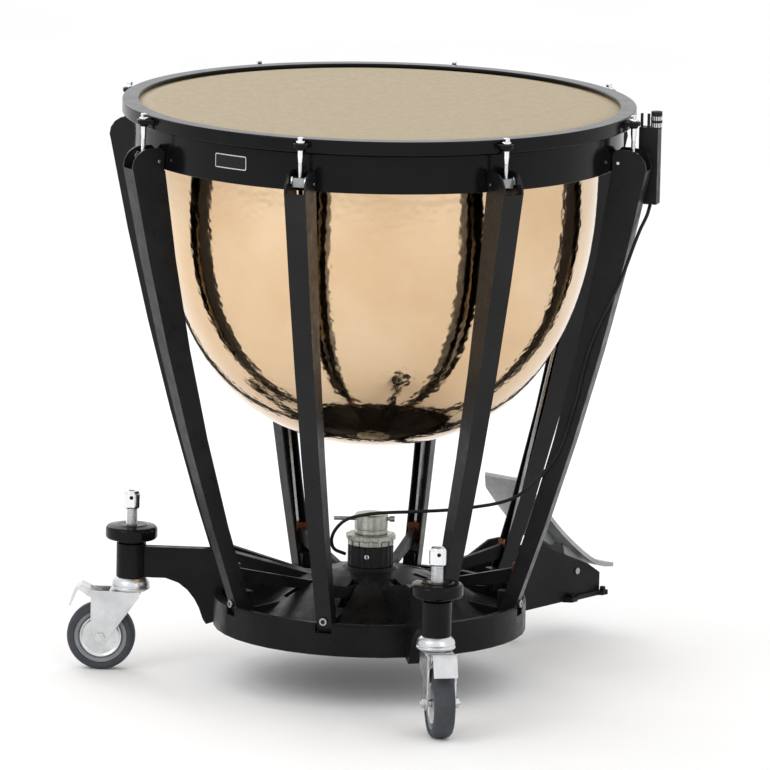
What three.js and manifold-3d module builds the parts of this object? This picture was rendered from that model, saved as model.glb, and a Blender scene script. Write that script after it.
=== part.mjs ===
// Pedal timpani, 26-inch class. Millimetres, +Z up, origin on the floor under the bowl's axis.
// The pedal points along +X; every strut station is drawn in its own frame, where x runs outward
// from the axis, y runs around the drum and z is up, and is then turned to its angle.
import * as THREE from 'three';
import { mergeVertices } from 'three/addons/utils/BufferGeometryUtils.js';
import Module from 'manifold-3d';

const wasm = await Module();
wasm.setup();

// ---- driving dimensions -------------------------------------------------------------------
const GAP = 0.3;                 // clearance between touching pieces
const RING_SIDES = 40;           // facets of every large ring
const STATIONS = 8;              // struts, rods and rockers
const HOOP_TOP = 845;
const HOOP_OUTER = 368;
const HOOP_INNER = 344.5;
const HOOP_DEPTH = 20;
const COLLAR_OUTER = 350;
const COLLAR_BOTTOM = 768;
const COLLAR_TOP = 822;
const BOWL_RADIUS = 316;
const BOWL_BOTTOM = 351;
const BOWL_WALL = 3;
const LIP_RADIUS = 324;
const HEAD_TOP = 842;
const ROD_CIRCLE = 377;
const STRUT_TOP = 800;
const STRUT_HEAD_HALF = 15.9;    // half the strut's width at its head
const STRUT_FOOT_HALF = 11.25;
const STRUT_WALL = 4;
const FOOT_Z = 112;              // lower end of each strut
const HEAD_SEAT_Z = COLLAR_BOTTOM - 0.6;
const BASE_OUTER = 226;
const BASE_TOP = 125;
const BASE_BOTTOM = 79;
const POST_CIRCLE = 347;         // caster posts
const POST_ANGLE = 124.9;        // caster arms, either side of the pedal
const POST_TOP = 187;
const POST_BOTTOM = 138;
const POST_RADIUS = 21.5;
const WHEEL_RADIUS = 49.5;
const WHEEL_WIDTH = 30;
const CASTER_TRAIL = 42;
const PEDAL_PIVOT = [436, 98];
const CRANK_PIVOT = [47, 95];
const CRANK_ARM = 30;
const LEG_RADIUS_OUT = 21;       // where the spider's pull leg passes the base
const ROCKER_PIVOT = [359.5, 781];
const NUT_Z = 785.5;             // barrel nut between tension rod and pull rod
const FOOT_CIRCLE = 340;         // rear foot under the pedal

// ---- solids -------------------------------------------------------------------------------
function toManifold(geometry) {
  const bare = geometry.clone();
  bare.deleteAttribute('normal');
  bare.deleteAttribute('uv');
  const welded = mergeVertices(bare, 1e-4);
  return new wasm.Manifold(new wasm.Mesh({
    numProp: 3,
    vertProperties: new Float32Array(welded.attributes.position.array),
    triVerts: new Uint32Array(welded.index.array),
  }));
}

function fromManifold(solid) {
  const mesh = solid.getMesh();
  const geometry = new THREE.BufferGeometry();
  geometry.setAttribute('position', new THREE.BufferAttribute(new Float32Array(mesh.vertProperties), 3));
  geometry.setIndex(new THREE.BufferAttribute(new Uint32Array(mesh.triVerts), 1));
  geometry.computeVertexNormals();
  return geometry;
}

function union(...pieces) {
  return fromManifold(pieces.map(toManifold).reduce((sum, next) => sum.add(next)));
}

function cut(body, ...tools) {
  return fromManifold(tools.map(toManifold).reduce((left, tool) => left.subtract(tool), toManifold(body)));
}

// Turned piece: the profile is [radius, height] pairs, anticlockwise seen with the axis on the left.
function turned(profile, sides = 24) {
  const points = profile.map(([r, z]) => new THREE.Vector2(r, z));
  const geometry = new THREE.LatheGeometry(points, sides);
  return geometry.rotateX(Math.PI / 2);
}

// Ring with a closed section that does not reach the axis.
function turnedRing(section, sides = RING_SIDES) {
  return turned([...section, section[0]], sides);
}

function block(x0, x1, y0, y1, z0, z1) {
  const geometry = new THREE.BoxGeometry(x1 - x0, y1 - y0, z1 - z0);
  return geometry.translate((x0 + x1) / 2, (y0 + y1) / 2, (z0 + z1) / 2);
}

// Flat plate standing on edge: outline in x and z, thickness from y0 to y1, with an optional hole.
function standing(outline, y0, y1, hole = []) {
  const shape = new THREE.Shape(outline.map(([x, z]) => new THREE.Vector2(x, z)));
  if (hole.length > 0) {
    shape.holes.push(new THREE.Path(hole.map(([x, z]) => new THREE.Vector2(x, z))));
  }
  const geometry = new THREE.ExtrudeGeometry(shape, { depth: y1 - y0, bevelEnabled: false, steps: 1 });
  return geometry.rotateX(Math.PI / 2).translate(0, y1, 0);
}

// Flat plate lying down: outline in x and y, thickness from z0 to z1.
function lying(outline, z0, z1) {
  const shape = new THREE.Shape(outline.map(([x, y]) => new THREE.Vector2(x, y)));
  const geometry = new THREE.ExtrudeGeometry(shape, { depth: z1 - z0, bevelEnabled: false, steps: 1 });
  return geometry.translate(0, 0, z0);
}

// Round bar between two points.
function bar(radius, from, to, sides = 10) {
  const start = new THREE.Vector3(...from);
  const end = new THREE.Vector3(...to);
  const run = end.clone().sub(start);
  const geometry = new THREE.CylinderGeometry(radius, radius, run.length(), sides);
  const turn = new THREE.Quaternion().setFromUnitVectors(new THREE.Vector3(0, 1, 0), run.clone().normalize());
  const middle = start.add(end).multiplyScalar(0.5);
  return geometry.applyQuaternion(turn).translate(middle.x, middle.y, middle.z);
}

// Pin lying across a station, along y.
function pin(radius, x, z, halfLength, sides = 10) {
  return bar(radius, [x, -halfLength, z], [x, halfLength, z], sides);
}

function arc(cx, cz, radius, fromDegrees, toDegrees, steps) {
  const points = [];
  for (let i = 0; i <= steps; i += 1) {
    const angle = THREE.MathUtils.degToRad(fromDegrees + ((toDegrees - fromDegrees) * i) / steps);
    points.push([cx + radius * Math.cos(angle), cz + radius * Math.sin(angle)]);
  }
  return points;
}

function atAngle(geometry, degrees) {
  return geometry.clone().rotateZ(THREE.MathUtils.degToRad(degrees));
}

function stationAngle(index) {
  return 22.5 + (360 / STATIONS) * index;
}

function everyStation(geometry) {
  return Array.from({ length: STATIONS }, (_, index) => atAngle(geometry, stationAngle(index)));
}

// ---- scene --------------------------------------------------------------------------------
const group = new THREE.Group();

function add(name, geometry, [color, roughness, metalness]) {
  const material = new THREE.MeshStandardMaterial({ color, roughness, metalness });
  const mesh = new THREE.Mesh(geometry, material);
  mesh.name = name;
  group.add(mesh);
}

const BLACK = [0x1c1c1e, 0.4, 0.2];
const CHROME = [0xd8dadc, 0.12, 1.0];
const STEEL = [0xa8abae, 0.35, 1.0];
const ZINC = [0xc9cdd0, 0.3, 1.0];
const COPPER = [0xd98f5c, 0.25, 1.0];
const FILM = [0xcdb998, 0.7, 0.0];
const RUBBER = [0x4a4e58, 0.8, 0.0];
const ALUMINIUM = [0x8d8f8e, 0.5, 0.8];
const PLASTIC = [0x151517, 0.5, 0.0];

// ---- struts -------------------------------------------------------------------------------
// The outer edge bows gently outward from the foot to the head.
function strutOuter(z) {
  const rise = (z - 118) / 611;
  return 220 + 217 * rise - 45 * rise * rise;
}

function strutInner(z) {
  return strutOuter(z) - 23 - 27 * Math.pow((z - FOOT_Z) / 655, 1.6);
}

// The strut narrows steadily from its head down to its foot.
function strutHalf(z) {
  return STRUT_FOOT_HALF + ((STRUT_HEAD_HALF - STRUT_FOOT_HALF) * (z - FOOT_Z)) / (STRUT_TOP - FOOT_Z);
}

function tapered(geometry) {
  const points = geometry.attributes.position;
  for (let i = 0; i < points.count; i += 1) {
    points.setY(i, (points.getY(i) * strutHalf(points.getZ(i))) / STRUT_HEAD_HALF);
  }
  return geometry;
}

const edgeHeights = Array.from({ length: 6 }, (_, i) => FOOT_Z + ((HEAD_SEAT_Z - FOOT_Z) * i) / 5);
const HEAD_CORNER = 27;
const headCornerZ = STRUT_TOP - HEAD_CORNER;
const headCornerX = strutOuter(775) - HEAD_CORNER;
const headInner = COLLAR_OUTER + 1.2;

const strutOutline = [
  ...edgeHeights.map((z) => [strutOuter(z), z]),
  ...arc(headCornerX, headCornerZ, HEAD_CORNER, 0, 90, 4),
  [headInner + 6, STRUT_TOP],
  [headInner, STRUT_TOP - 6],
  [headInner, HEAD_SEAT_Z],
  ...edgeHeights.slice().reverse().map((z) => [strutInner(z), z]),
];
const WEB_TOP = 771;
const hollowHeights = [100, ...edgeHeights.slice(1, 5), WEB_TOP];
const strutHollow = [
  ...hollowHeights.map((z) => [strutOuter(z) - STRUT_WALL, z]),
  [430, WEB_TOP],
  [430, 830],
  [180, 830],
  [180, 100],
];
const footBoltX = strutOuter(128);
const hollowHalf = STRUT_HEAD_HALF - 3;
const strut = union(
  tapered(cut(
    standing(strutOutline, -STRUT_HEAD_HALF, STRUT_HEAD_HALF),
    standing(strutHollow, -hollowHalf, hollowHalf),
    pin(2.8, ...ROCKER_PIVOT, 20, 8),
  )),
  bar(5.5, [footBoltX - 2, 0, 128], [footBoltX + 3.5, 0, 127], 6),
);

// ---- tension rod: square head, flange and threaded shank -------------------------------------
const LUG_TOP = HOOP_TOP - 5;
const LUG_BOTTOM = LUG_TOP - 10;
const tensionRod = union(
  bar(3.8, [ROD_CIRCLE, 0, NUT_Z - 4], [ROD_CIRCLE, 0, LUG_TOP + 2], 8),
  bar(8, [ROD_CIRCLE, 0, LUG_TOP + GAP], [ROD_CIRCLE, 0, LUG_TOP + 3], 10),
  block(ROD_CIRCLE - 4, ROD_CIRCLE + 4, -4, 4, LUG_TOP + 2.5, LUG_TOP + 8.5),
);

// ---- rocker: guides the barrel nut on its way down ----------------------------------------------
const [PIVOT_X, PIVOT_Z] = ROCKER_PIVOT;
const rockerLean = THREE.MathUtils.radToDeg(Math.atan2(NUT_Z - PIVOT_Z, ROD_CIRCLE - PIVOT_X));
const cheekOutline = [
  ...arc(PIVOT_X, PIVOT_Z, 7.5, 100 + rockerLean, 260 + rockerLean, 3),
  ...arc(ROD_CIRCLE, NUT_Z, 9, rockerLean - 75, rockerLean + 75, 4),
];
const cheekEye = arc(ROD_CIRCLE, NUT_Z, 6.4, 0, 315, 7);
const rocker = union(
  standing(cheekOutline, 8.8, 11.6, cheekEye),
  standing(cheekOutline, -11.6, -8.8, cheekEye),
  pin(4, PIVOT_X, PIVOT_Z, 12, 8),
  pin(2.4, PIVOT_X, PIVOT_Z, 16.4, 8),
);

// ---- pull rod: barrel nut on top, clevis over the spider arm below --------------------------------
const TIP_X = 222;
const TIP_Z = 172;
const clevis = [
  [TIP_X - 7, TIP_Z - 9],
  [TIP_X + 4, TIP_Z - 9],
  [TIP_X + 9, TIP_Z + 16],
  [TIP_X - 7, TIP_Z + 16],
];
const pullRod = cut(
  union(
    block(ROD_CIRCLE - 7, ROD_CIRCLE + 7, -8.4, 8.4, NUT_Z - 7, NUT_Z + 6),
    pin(5, ROD_CIRCLE, NUT_Z, 11.6, 8),
    bar(3.5, [TIP_X + 6, 0, TIP_Z + 12], [ROD_CIRCLE - 2, 0, NUT_Z - 5], 6),
    standing(clevis, -8.3, 8.3),
    pin(3, TIP_X, TIP_Z - 2, 8.9, 6),
  ),
  block(TIP_X - 12, TIP_X + 12, -4.3, 4.3, TIP_Z - 14, TIP_Z + 8.5),
  bar(4.4, [ROD_CIRCLE, 0, NUT_Z - 4.4], [ROD_CIRCLE, 0, NUT_Z + 12], 8),
);

for (let i = 0; i < STATIONS; i += 1) {
  const angle = stationAngle(i);
  add(`strut_${i + 1}`, atAngle(strut, angle), BLACK);
  add(`tension_rod_${i + 1}`, atAngle(tensionRod, angle), CHROME);
  add(`rocker_${i + 1}`, atAngle(rocker, angle), CHROME);
  add(`pull_rod_${i + 1}`, atAngle(pullRod, angle), STEEL);
}

// ---- bowl: deep rounded shell with a vent hole, a flange on the collar and a lip for the head -------
const VENT_RADIUS = 12;

function bowlWall(offset, steps) {
  const points = [];
  for (let i = 0; i <= steps; i += 1) {
    const swing = (Math.PI / 2) * (i / steps);
    const across = Math.pow(Math.sin(swing), 2 / 2.35);
    const down = Math.pow(Math.cos(swing), 2 / 2.35);
    const depth = COLLAR_BOTTOM - BOWL_BOTTOM - offset;
    points.push([Math.max(VENT_RADIUS, (BOWL_RADIUS - offset) * across), COLLAR_BOTTOM - depth * down]);
  }
  return points;
}

const FLANGE_Z = COLLAR_BOTTOM + 6.4;
const FLANGE_RADIUS = COLLAR_OUTER - 13;
const bowlSection = [
  ...bowlWall(0, 9),
  [BOWL_RADIUS + 1, FLANGE_Z],
  [FLANGE_RADIUS, FLANGE_Z],
  [FLANGE_RADIUS, FLANGE_Z + 3.6],
  [BOWL_RADIUS + 2, FLANGE_Z + 3.6],
  [LIP_RADIUS, HEAD_TOP - 4],
  [LIP_RADIUS, HEAD_TOP - 1.4],
  [LIP_RADIUS - BOWL_WALL, HEAD_TOP - 1.4],
  ...bowlWall(BOWL_WALL, 9).reverse(),
];
add('bowl', turnedRing(bowlSection), COPPER);

// ---- collar ring that carries the bowl on the struts ----------------------------------------------
const collarSection = [
  [322, COLLAR_BOTTOM],
  [COLLAR_OUTER, COLLAR_BOTTOM],
  [COLLAR_OUTER, COLLAR_TOP],
  [COLLAR_OUTER - 8, COLLAR_TOP],
  [COLLAR_OUTER - 8, COLLAR_BOTTOM + 6],
  [322, COLLAR_BOTTOM + 6],
];
add('collar_ring', turnedRing(collarSection), BLACK);

// ---- head: film over the bowl's lip, gripped by a flesh hoop under the counterhoop -----------------
const FLESH_TOP = HOOP_TOP - 6.6;
const FLESH_BOTTOM = HOOP_TOP - 15;
const headSection = [
  [0, HEAD_TOP - 1],
  [LIP_RADIUS + 1, HEAD_TOP - 1],
  [HOOP_INNER + 8, FLESH_TOP - 1.9],
  [HOOP_INNER + 8, FLESH_BOTTOM],
  [HOOP_INNER + 16, FLESH_BOTTOM],
  [HOOP_INNER + 16, FLESH_TOP],
  [HOOP_INNER - 2, FLESH_TOP],
  [LIP_RADIUS + 1.3, HEAD_TOP],
  [0, HEAD_TOP],
];
add('drum_head', turned(headSection, RING_SIDES), FILM);

// ---- counterhoop with a lug for each tension rod ---------------------------------------------------
const HOOP_FLANGE = 6;
const hoopSection = [
  [HOOP_INNER, HOOP_TOP - HOOP_FLANGE],
  [HOOP_OUTER - 6, HOOP_TOP - HOOP_FLANGE],
  [HOOP_OUTER - 6, HOOP_TOP - HOOP_DEPTH],
  [HOOP_OUTER, HOOP_TOP - HOOP_DEPTH],
  [HOOP_OUTER, HOOP_TOP - 2],
  [HOOP_OUTER - 2, HOOP_TOP],
  [HOOP_INNER, HOOP_TOP],
];
const lugOutline = [
  [HOOP_OUTER - 4, -15],
  [ROD_CIRCLE - 2, -15],
  ...arc(ROD_CIRCLE - 2, 0, 11.5, -60, 60, 3),
  [ROD_CIRCLE - 2, 15],
  [HOOP_OUTER - 4, 15],
];
const lug = cut(
  lying(lugOutline, LUG_BOTTOM, LUG_TOP),
  bar(4.4, [ROD_CIRCLE, 0, LUG_BOTTOM - 2], [ROD_CIRCLE, 0, LUG_TOP + 2], 8),
);
add('counterhoop', union(turnedRing(hoopSection), ...everyStation(lug)), BLACK);

// ---- base casting: ring, web, slotted dome round the hub, strut lugs, two caster arms ---------------
const POST_CORE = 11;
const CORE_TOP = 192.7;
const baseSection = [
  [0, 108],
  [30, 108],
  [34, 112],
  [212, 95],
  [212, BASE_BOTTOM],
  [BASE_OUTER, BASE_BOTTOM],
  [BASE_OUTER, BASE_TOP - 3],
  [BASE_OUTER - 3, BASE_TOP],
  [214, BASE_TOP],
  [214, 101],
  [34, 119],
  [30, 126],
  [POST_CORE, 126],
  [POST_CORE, CORE_TOP],
  [0, CORE_TOP],
];
const domeSection = [
  [31.4, 167.6],
  [31.4, 154],
  [60, 154],
  [97, 145],
  [132, 129],
  [166, 109],
  [200, 98],
  [200, 104],
  [166, 115],
  [132, 135],
  [97, 151],
  [60, 160],
  [40, 163],
  [36, 167.6],
];
const domeSlot = block(66, 138, -6, 6, 116, 175);
const strutLug = block(194, strutOuter(112) - STRUT_WALL - GAP, -8.7, 8.7, 98, 146);
const strutPocket = block(210, 240, -12.1, 12.1, 111, 160);
const webRib = standing([[110, 103], [198, 97], [198, 119], [110, 131]], -2.5, 2.5);
const armOutline = [
  [216, BASE_BOTTOM],
  [236, 72],
  [241, 79],
  [247, 96],
  [254, 109],
  [264, 121.5],
  [277, 131.5],
  [296, POST_BOTTOM],
  [POST_CIRCLE - 8, POST_BOTTOM],
  [POST_CIRCLE - 8, POST_TOP - 4],
  [214, POST_TOP - 4],
  [84, 152],
  [74, 112],
  [212, 98],
];
const armSolid = union(
  standing(armOutline, -8, 8),
  bar(POST_RADIUS, [POST_CIRCLE, 0, POST_BOTTOM], [POST_CIRCLE, 0, POST_TOP], 20),
);
const studBore = bar(9.2, [POST_CIRCLE, 0, POST_BOTTOM - 5], [POST_CIRCLE, 0, POST_TOP + 5], 12);
const arm = cut(armSolid, studBore);
const crankCheek = [[36, 116], [58, 114], [54, 86], [40, 86]];
const pedalFlange = block(214, 233, -30, 30, 84, 118);
const baseBody = cut(
  union(
    turned(baseSection, RING_SIDES),
    cut(turnedRing(domeSection), ...everyStation(domeSlot)),
    ...everyStation(webRib),
    atAngle(arm, POST_ANGLE),
    atAngle(arm, -POST_ANGLE),
    standing(crankCheek, 9.4, 14),
    standing(crankCheek, -14, -9.4),
    pedalFlange,
  ),
  ...everyStation(strutPocket),
);
add('base_casting', cut(
  union(baseBody, ...everyStation(strutLug)),
  bar(5.2, [LEG_RADIUS_OUT, 0, 90], [LEG_RADIUS_OUT, 0, 140], 12),
  pin(4.4, ...CRANK_PIVOT, 20, 12),
), BLACK);

// ---- hub: fluted housing, balance spring, notched lock ring, adjusting knob with its cross bar --------
const HUB_RADIUS = 33;
const HUB_BOTTOM = 168;
const HUB_TOP = 198;

function fluted(radius, depth, flutes, z0, z1) {
  const outline = [];
  for (let i = 0; i < flutes * 3; i += 1) {
    const angle = (i / (flutes * 3)) * Math.PI * 2;
    const reach = i % 3 === 2 ? radius - depth : radius;
    outline.push([reach * Math.cos(angle), reach * Math.sin(angle)]);
  }
  return lying(outline, z0, z1);
}

add('hub_housing', cut(
  fluted(HUB_RADIUS, 1.6, 16, HUB_BOTTOM, HUB_TOP),
  bar(27, [0, 0, HUB_BOTTOM - 2], [0, 0, HUB_TOP - 5], 24),
  bar(8.6, [0, 0, HUB_TOP - 10], [0, 0, HUB_TOP + 2], 16),
), BLACK);

const SPRING_RADIUS = 19;
const SPRING_BOTTOM = 168.5;
const SPRING_RISE = 20.5;
const SPRING_TURNS = 4;
class Coil extends THREE.Curve {
  getPoint(t, target = new THREE.Vector3()) {
    const angle = t * SPRING_TURNS * Math.PI * 2;
    return target.set(
      SPRING_RADIUS * Math.cos(angle),
      SPRING_RADIUS * Math.sin(angle),
      SPRING_BOTTOM + SPRING_RISE * t,
    );
  }
}

function roundSection(radius, sides) {
  const points = arc(0, 0, radius, 0, 360 - 360 / sides, sides - 1);
  return new THREE.Shape(points.map(([x, y]) => new THREE.Vector2(x, y)));
}

add('balance_spring', new THREE.ExtrudeGeometry(roundSection(1.8, 5), {
  steps: 40,
  bevelEnabled: false,
  extrudePath: new Coil(),
}), STEEL);

const LOCK_BOTTOM = HUB_TOP + GAP;
const LOCK_TOP = 214;
const notch = block(HUB_RADIUS - 2, HUB_RADIUS + 3, -2, 2, LOCK_BOTTOM - 1, LOCK_BOTTOM + 7);
const notches = Array.from({ length: 10 }, (_, i) => atAngle(notch, 36 * i));
add('lock_ring', cut(
  turnedRing([
    [8.6, LOCK_BOTTOM],
    [HUB_RADIUS, LOCK_BOTTOM],
    [HUB_RADIUS, LOCK_BOTTOM + 8],
    [HUB_RADIUS + 3, LOCK_BOTTOM + 9],
    [HUB_RADIUS + 3, LOCK_TOP - 1],
    [HUB_RADIUS + 1, LOCK_TOP],
    [8.6, LOCK_TOP],
  ], 30),
  ...notches,
), ZINC);

const KNOB_BOTTOM = LOCK_TOP + GAP;
const KNOB_TOP = 243;
const CROSS_BAR_ANGLE = 130;
const crossBar = union(
  bar(2.8, [-30, 0, 235], [54, 0, 235], 8),
  bar(4.2, [-34, 0, 235], [-27, 0, 235], 8),
);
add('adjusting_knob', union(
  turned([
    [0, HUB_TOP - 3],
    [8, HUB_TOP - 3],
    [8, KNOB_BOTTOM],
    [24, KNOB_BOTTOM],
    [24, KNOB_TOP - 2],
    [22, KNOB_TOP],
    [0, KNOB_TOP],
  ], 20),
  atAngle(crossBar, CROSS_BAR_ANGLE),
), ZINC);

// ---- spider: slides on the hub post and carries the eight pull rods ------------------------------------
const armPlate = [
  [26, 137],
  [110, 141],
  [TIP_X - 8, TIP_Z - 12],
  [TIP_X + 5, TIP_Z - 6],
  [TIP_X + 5, TIP_Z + 6],
  [TIP_X - 8, TIP_Z + 8],
  [100, 153],
  [26, 150],
];
const spiderArm = cut(standing(armPlate, -4, 4), pin(3.6, TIP_X, TIP_Z - 2, 8, 8));
add('spider', union(
  turnedRing([[POST_CORE + 0.6, 137], [30, 137], [30, 160], [24, 165], [POST_CORE + 0.6, 165]], 24),
  ...everyStation(spiderArm),
  bar(4.6, [LEG_RADIUS_OUT, 0, 88], [LEG_RADIUS_OUT, 0, 140], 10),
  pin(3, LEG_RADIUS_OUT, CRANK_PIVOT[1], 8.4, 8),
), BLACK);

// ---- hub crank: turns the draw rod's pull into the spider's drop ----------------------------------------
function crankPlate(y0, y1) {
  const [px, pz] = CRANK_PIVOT;
  const outline = [
    [px, pz + 8],
    [LEG_RADIUS_OUT - 1, pz + 8],
    [LEG_RADIUS_OUT - 8, pz + 3],
    [LEG_RADIUS_OUT - 8, pz - 3],
    [LEG_RADIUS_OUT - 1, pz - 8],
    [px - 8, pz - 8],
    [px - 6, pz - CRANK_ARM - 4],
    [px, pz - CRANK_ARM - 7],
    [px + 6, pz - CRANK_ARM - 4],
    [px + 8, pz],
  ];
  return cut(standing(outline, y0, y1), pin(4.6, LEG_RADIUS_OUT, pz, 12));
}

add('hub_crank', union(
  crankPlate(5.4, 8.6),
  crankPlate(-8.6, -5.4),
  pin(4, ...CRANK_PIVOT, 15.5, 10),
  pin(6, ...CRANK_PIVOT, 7, 10),
  pin(3, CRANK_PIVOT[0], CRANK_PIVOT[1] - CRANK_ARM, 7, 8),
), STEEL);

// ---- draw rod between the pedal's lower arm and the hub crank --------------------------------------------
const DRAW_Z = CRANK_PIVOT[1] - CRANK_ARM;

function eye(x) {
  return cut(pin(9, x, DRAW_Z, 4.4, 12), pin(5, x, DRAW_Z, 8, 10));
}

add('draw_rod', union(
  eye(CRANK_PIVOT[0]),
  eye(PEDAL_PIVOT[0]),
  bar(3.6, [CRANK_PIVOT[0] + 7, 0, DRAW_Z], [PEDAL_PIVOT[0] - 7, 0, DRAW_Z], 8),
), STEEL);

// ---- pedal housing: side walls, end wall, floor plate for the rear foot, bolting flanges ------------------
const WALL_OUT = 38;
const HOUSING_END = 491;
const HOUSING_FLOOR = 56;
const housingWall = [
  [234, HOUSING_FLOOR + 8],
  [262, HOUSING_FLOOR],
  [HOUSING_END, HOUSING_FLOOR],
  [HOUSING_END, 88],
  [463, 105],
  [408, 127],
  [344, 152],
  [318, 152],
  [234, 122],
];

function flangeStrip(side) {
  const outline = [[404, 0], [412, 12], [426, 12], [434, 6], [482, 6], [486, 12], [498, 12], [500, 6], [490, 0]];
  const inner = WALL_OUT - 1;
  return lying(outline.map(([x, y]) => [x, side * (inner + y)]), HOUSING_FLOOR - 1, HOUSING_FLOOR + 6);
}

function flangeBolt(x, side) {
  const y = side * (WALL_OUT + 5.5);
  return bar(4.5, [x, y, HOUSING_FLOOR + 5], [x, y, HOUSING_FLOOR + 11], 6);
}

add('pedal_housing', cut(
  union(
    standing(housingWall, WALL_OUT - 4, WALL_OUT),
    standing(housingWall, -WALL_OUT, 4 - WALL_OUT),
    block(HOUSING_END - 5, HOUSING_END - 1, 3 - WALL_OUT, WALL_OUT - 3, HOUSING_FLOOR + 1, 83),
    block(235, 239, 3 - WALL_OUT, WALL_OUT - 3, 77, 119),
    block(316, 366, 3 - WALL_OUT, WALL_OUT - 3, HOUSING_FLOOR + 1, HOUSING_FLOOR + 5),
    flangeStrip(1),
    flangeStrip(-1),
    ...[419, 492].flatMap((x) => [flangeBolt(x, 1), flangeBolt(x, -1)]),
  ),
  bar(4.4, [FOOT_CIRCLE, 20, 40], [FOOT_CIRCLE, 20, 80], 10),
  pin(5.4, ...PEDAL_PIVOT, 50, 12),
), BLACK);

// Rear foot: threaded pin with a rubber tip, set beside the draw rod.
add('rear_foot', turned([
  [0, 0],
  [6.5, 0],
  [7, 3],
  [7, 14],
  [5.5, 15],
  [5.5, HOUSING_FLOOR - GAP],
  [4, HOUSING_FLOOR - GAP],
  [4, HOUSING_FLOOR + 9],
  [0, HOUSING_FLOOR + 9],
], 12).translate(FOOT_CIRCLE, 20, 0), RUBBER);

// ---- footplate: curved tread with its pivot lugs and the arm that pulls the draw rod --------------------
const TREAD_WIDTH = 90;
const TREAD_THICK = 6;
const treadLine = [[306, 255], [330, 226], [366, 190], [394, 165], [421, 144], [448, 125], [470, 112], [490, 104], [515, 100]];

function treadOutline() {
  const curve = new THREE.CatmullRomCurve3(treadLine.map(([x, z]) => new THREE.Vector3(x, 0, z)));
  const above = [];
  const below = [];
  for (let i = 0; i <= 10; i += 1) {
    const at = curve.getPoint(i / 10);
    const along = curve.getTangent(i / 10);
    above.push([at.x, at.z]);
    below.push([at.x + along.z * TREAD_THICK, at.z - along.x * TREAD_THICK]);
  }
  return [...above.reverse(), ...below];
}

const pivotLug = [
  [414, 140],
  [425, PEDAL_PIVOT[1] + 3],
  [427, PEDAL_PIVOT[1] - 8],
  [445, PEDAL_PIVOT[1] - 8],
  [447, PEDAL_PIVOT[1] + 3],
  [458, 113],
];
const armPlateLow = [
  [427, PEDAL_PIVOT[1] + 6],
  [429, DRAW_Z - 5],
  [443, DRAW_Z - 5],
  [445, PEDAL_PIVOT[1] + 6],
];
const treadRib = [[352, 202], [360, 162], [398, 140], [424, 138], [400, 156], [366, 186]];
const toeCorner = lying([[296, TREAD_WIDTH / 2 + 2], [322, TREAD_WIDTH / 2 + 2], [296, TREAD_WIDTH / 2 - 16]], 200, 270);
add('footplate', cut(
  union(
    standing(treadOutline(), -TREAD_WIDTH / 2, TREAD_WIDTH / 2),
    standing(pivotLug, 22, 28),
    standing(pivotLug, -28, -22),
    standing(treadRib, -16, 16),
    standing(armPlateLow, 5.4, 9),
    standing(armPlateLow, -9, -5.4),
    pin(5, ...PEDAL_PIVOT, 40, 10),
    pin(3, PEDAL_PIVOT[0], DRAW_Z, 7, 8),
  ),
  toeCorner,
  toeCorner.clone().applyMatrix4(new THREE.Matrix4().makeRotationX(Math.PI)).translate(0, 0, 470),
), ALUMINIUM);

// ---- casters ----------------------------------------------------------------------------------------------
// Drawn with the post at the origin and the wheel trailing along +x.
const levellingScrew = cut(
  union(
    bar(8.5, [0, 0, POST_BOTTOM + 0.5], [0, 0, 240], 12),
    turned([[0, 238], [11, 238], [12.5, 241], [12.5, 260], [10.5, 264], [0, 264]], 8),
  ),
  bar(2.8, [-20, 0, 255], [20, 0, 255], 4),
  bar(5, [0, 0, 262], [0, 0, 270], 6),
);
const handwheel = turnedRing([
  [9, POST_TOP + GAP],
  [19, POST_TOP + GAP],
  [21, 193],
  [36, 194],
  [38, 197],
  [38, 209],
  [35, 213],
  [9, 215],
], 20);
const SWIVEL_TOP = POST_BOTTOM - GAP;
const FORK_INNER = WHEEL_WIDTH / 2 + 3;
const FORK_OUTER = FORK_INNER + 3;
const forkSide = [
  ...arc(CASTER_TRAIL, WHEEL_RADIUS, 11, 200, 350, 4),
  [56, 70],
  [56, 118],
  [-14, 118],
  [-14, 110],
];
const forkCrown = lying([[-16, -FORK_OUTER], [30, -FORK_OUTER], [30, FORK_OUTER], [-16, FORK_OUTER]], 114, 118);
const fork = union(
  standing(forkSide, FORK_INNER, FORK_OUTER),
  standing(forkSide, -FORK_OUTER, -FORK_INNER),
  forkCrown,
  turned([[0, 117], [22, 117], [27, 122], [27, 130], [24, 134], [20, SWIVEL_TOP], [0, SWIVEL_TOP]], 20),
  pin(5, CASTER_TRAIL, WHEEL_RADIUS, FORK_OUTER + 3, 10),
);
const wheel = turnedRing([
  [5.4, -12],
  [33, -12],
  [41, -12],
  [45, -15],
  [WHEEL_RADIUS, -9],
  [WHEEL_RADIUS, 9],
  [45, 15],
  [41, 12],
  [33, 12],
  [5.4, 12],
], 28).rotateX(Math.PI / 2).translate(CASTER_TRAIL, 0, WHEEL_RADIUS);
const brakeSide = [[44, 112], [53, 106], [62, 110], [76, 120], [71, 126], [58, 120]];
const BRAKE_HALF = FORK_INNER - 0.8;
const brake = union(
  standing(brakeSide, BRAKE_HALF - 3, BRAKE_HALF),
  standing(brakeSide, -BRAKE_HALF, 3 - BRAKE_HALF),
  standing([[58, 120], [71, 126], [80, 120], [89, 95], [86, 94], [77, 116], [70, 121], [61, 116]], -BRAKE_HALF, BRAKE_HALF),
);

function placeCaster(geometry, postAngle, trailAngle) {
  const angle = THREE.MathUtils.degToRad(postAngle);
  return atAngle(geometry, trailAngle)
    .translate(POST_CIRCLE * Math.cos(angle), POST_CIRCLE * Math.sin(angle), 0);
}

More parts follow.
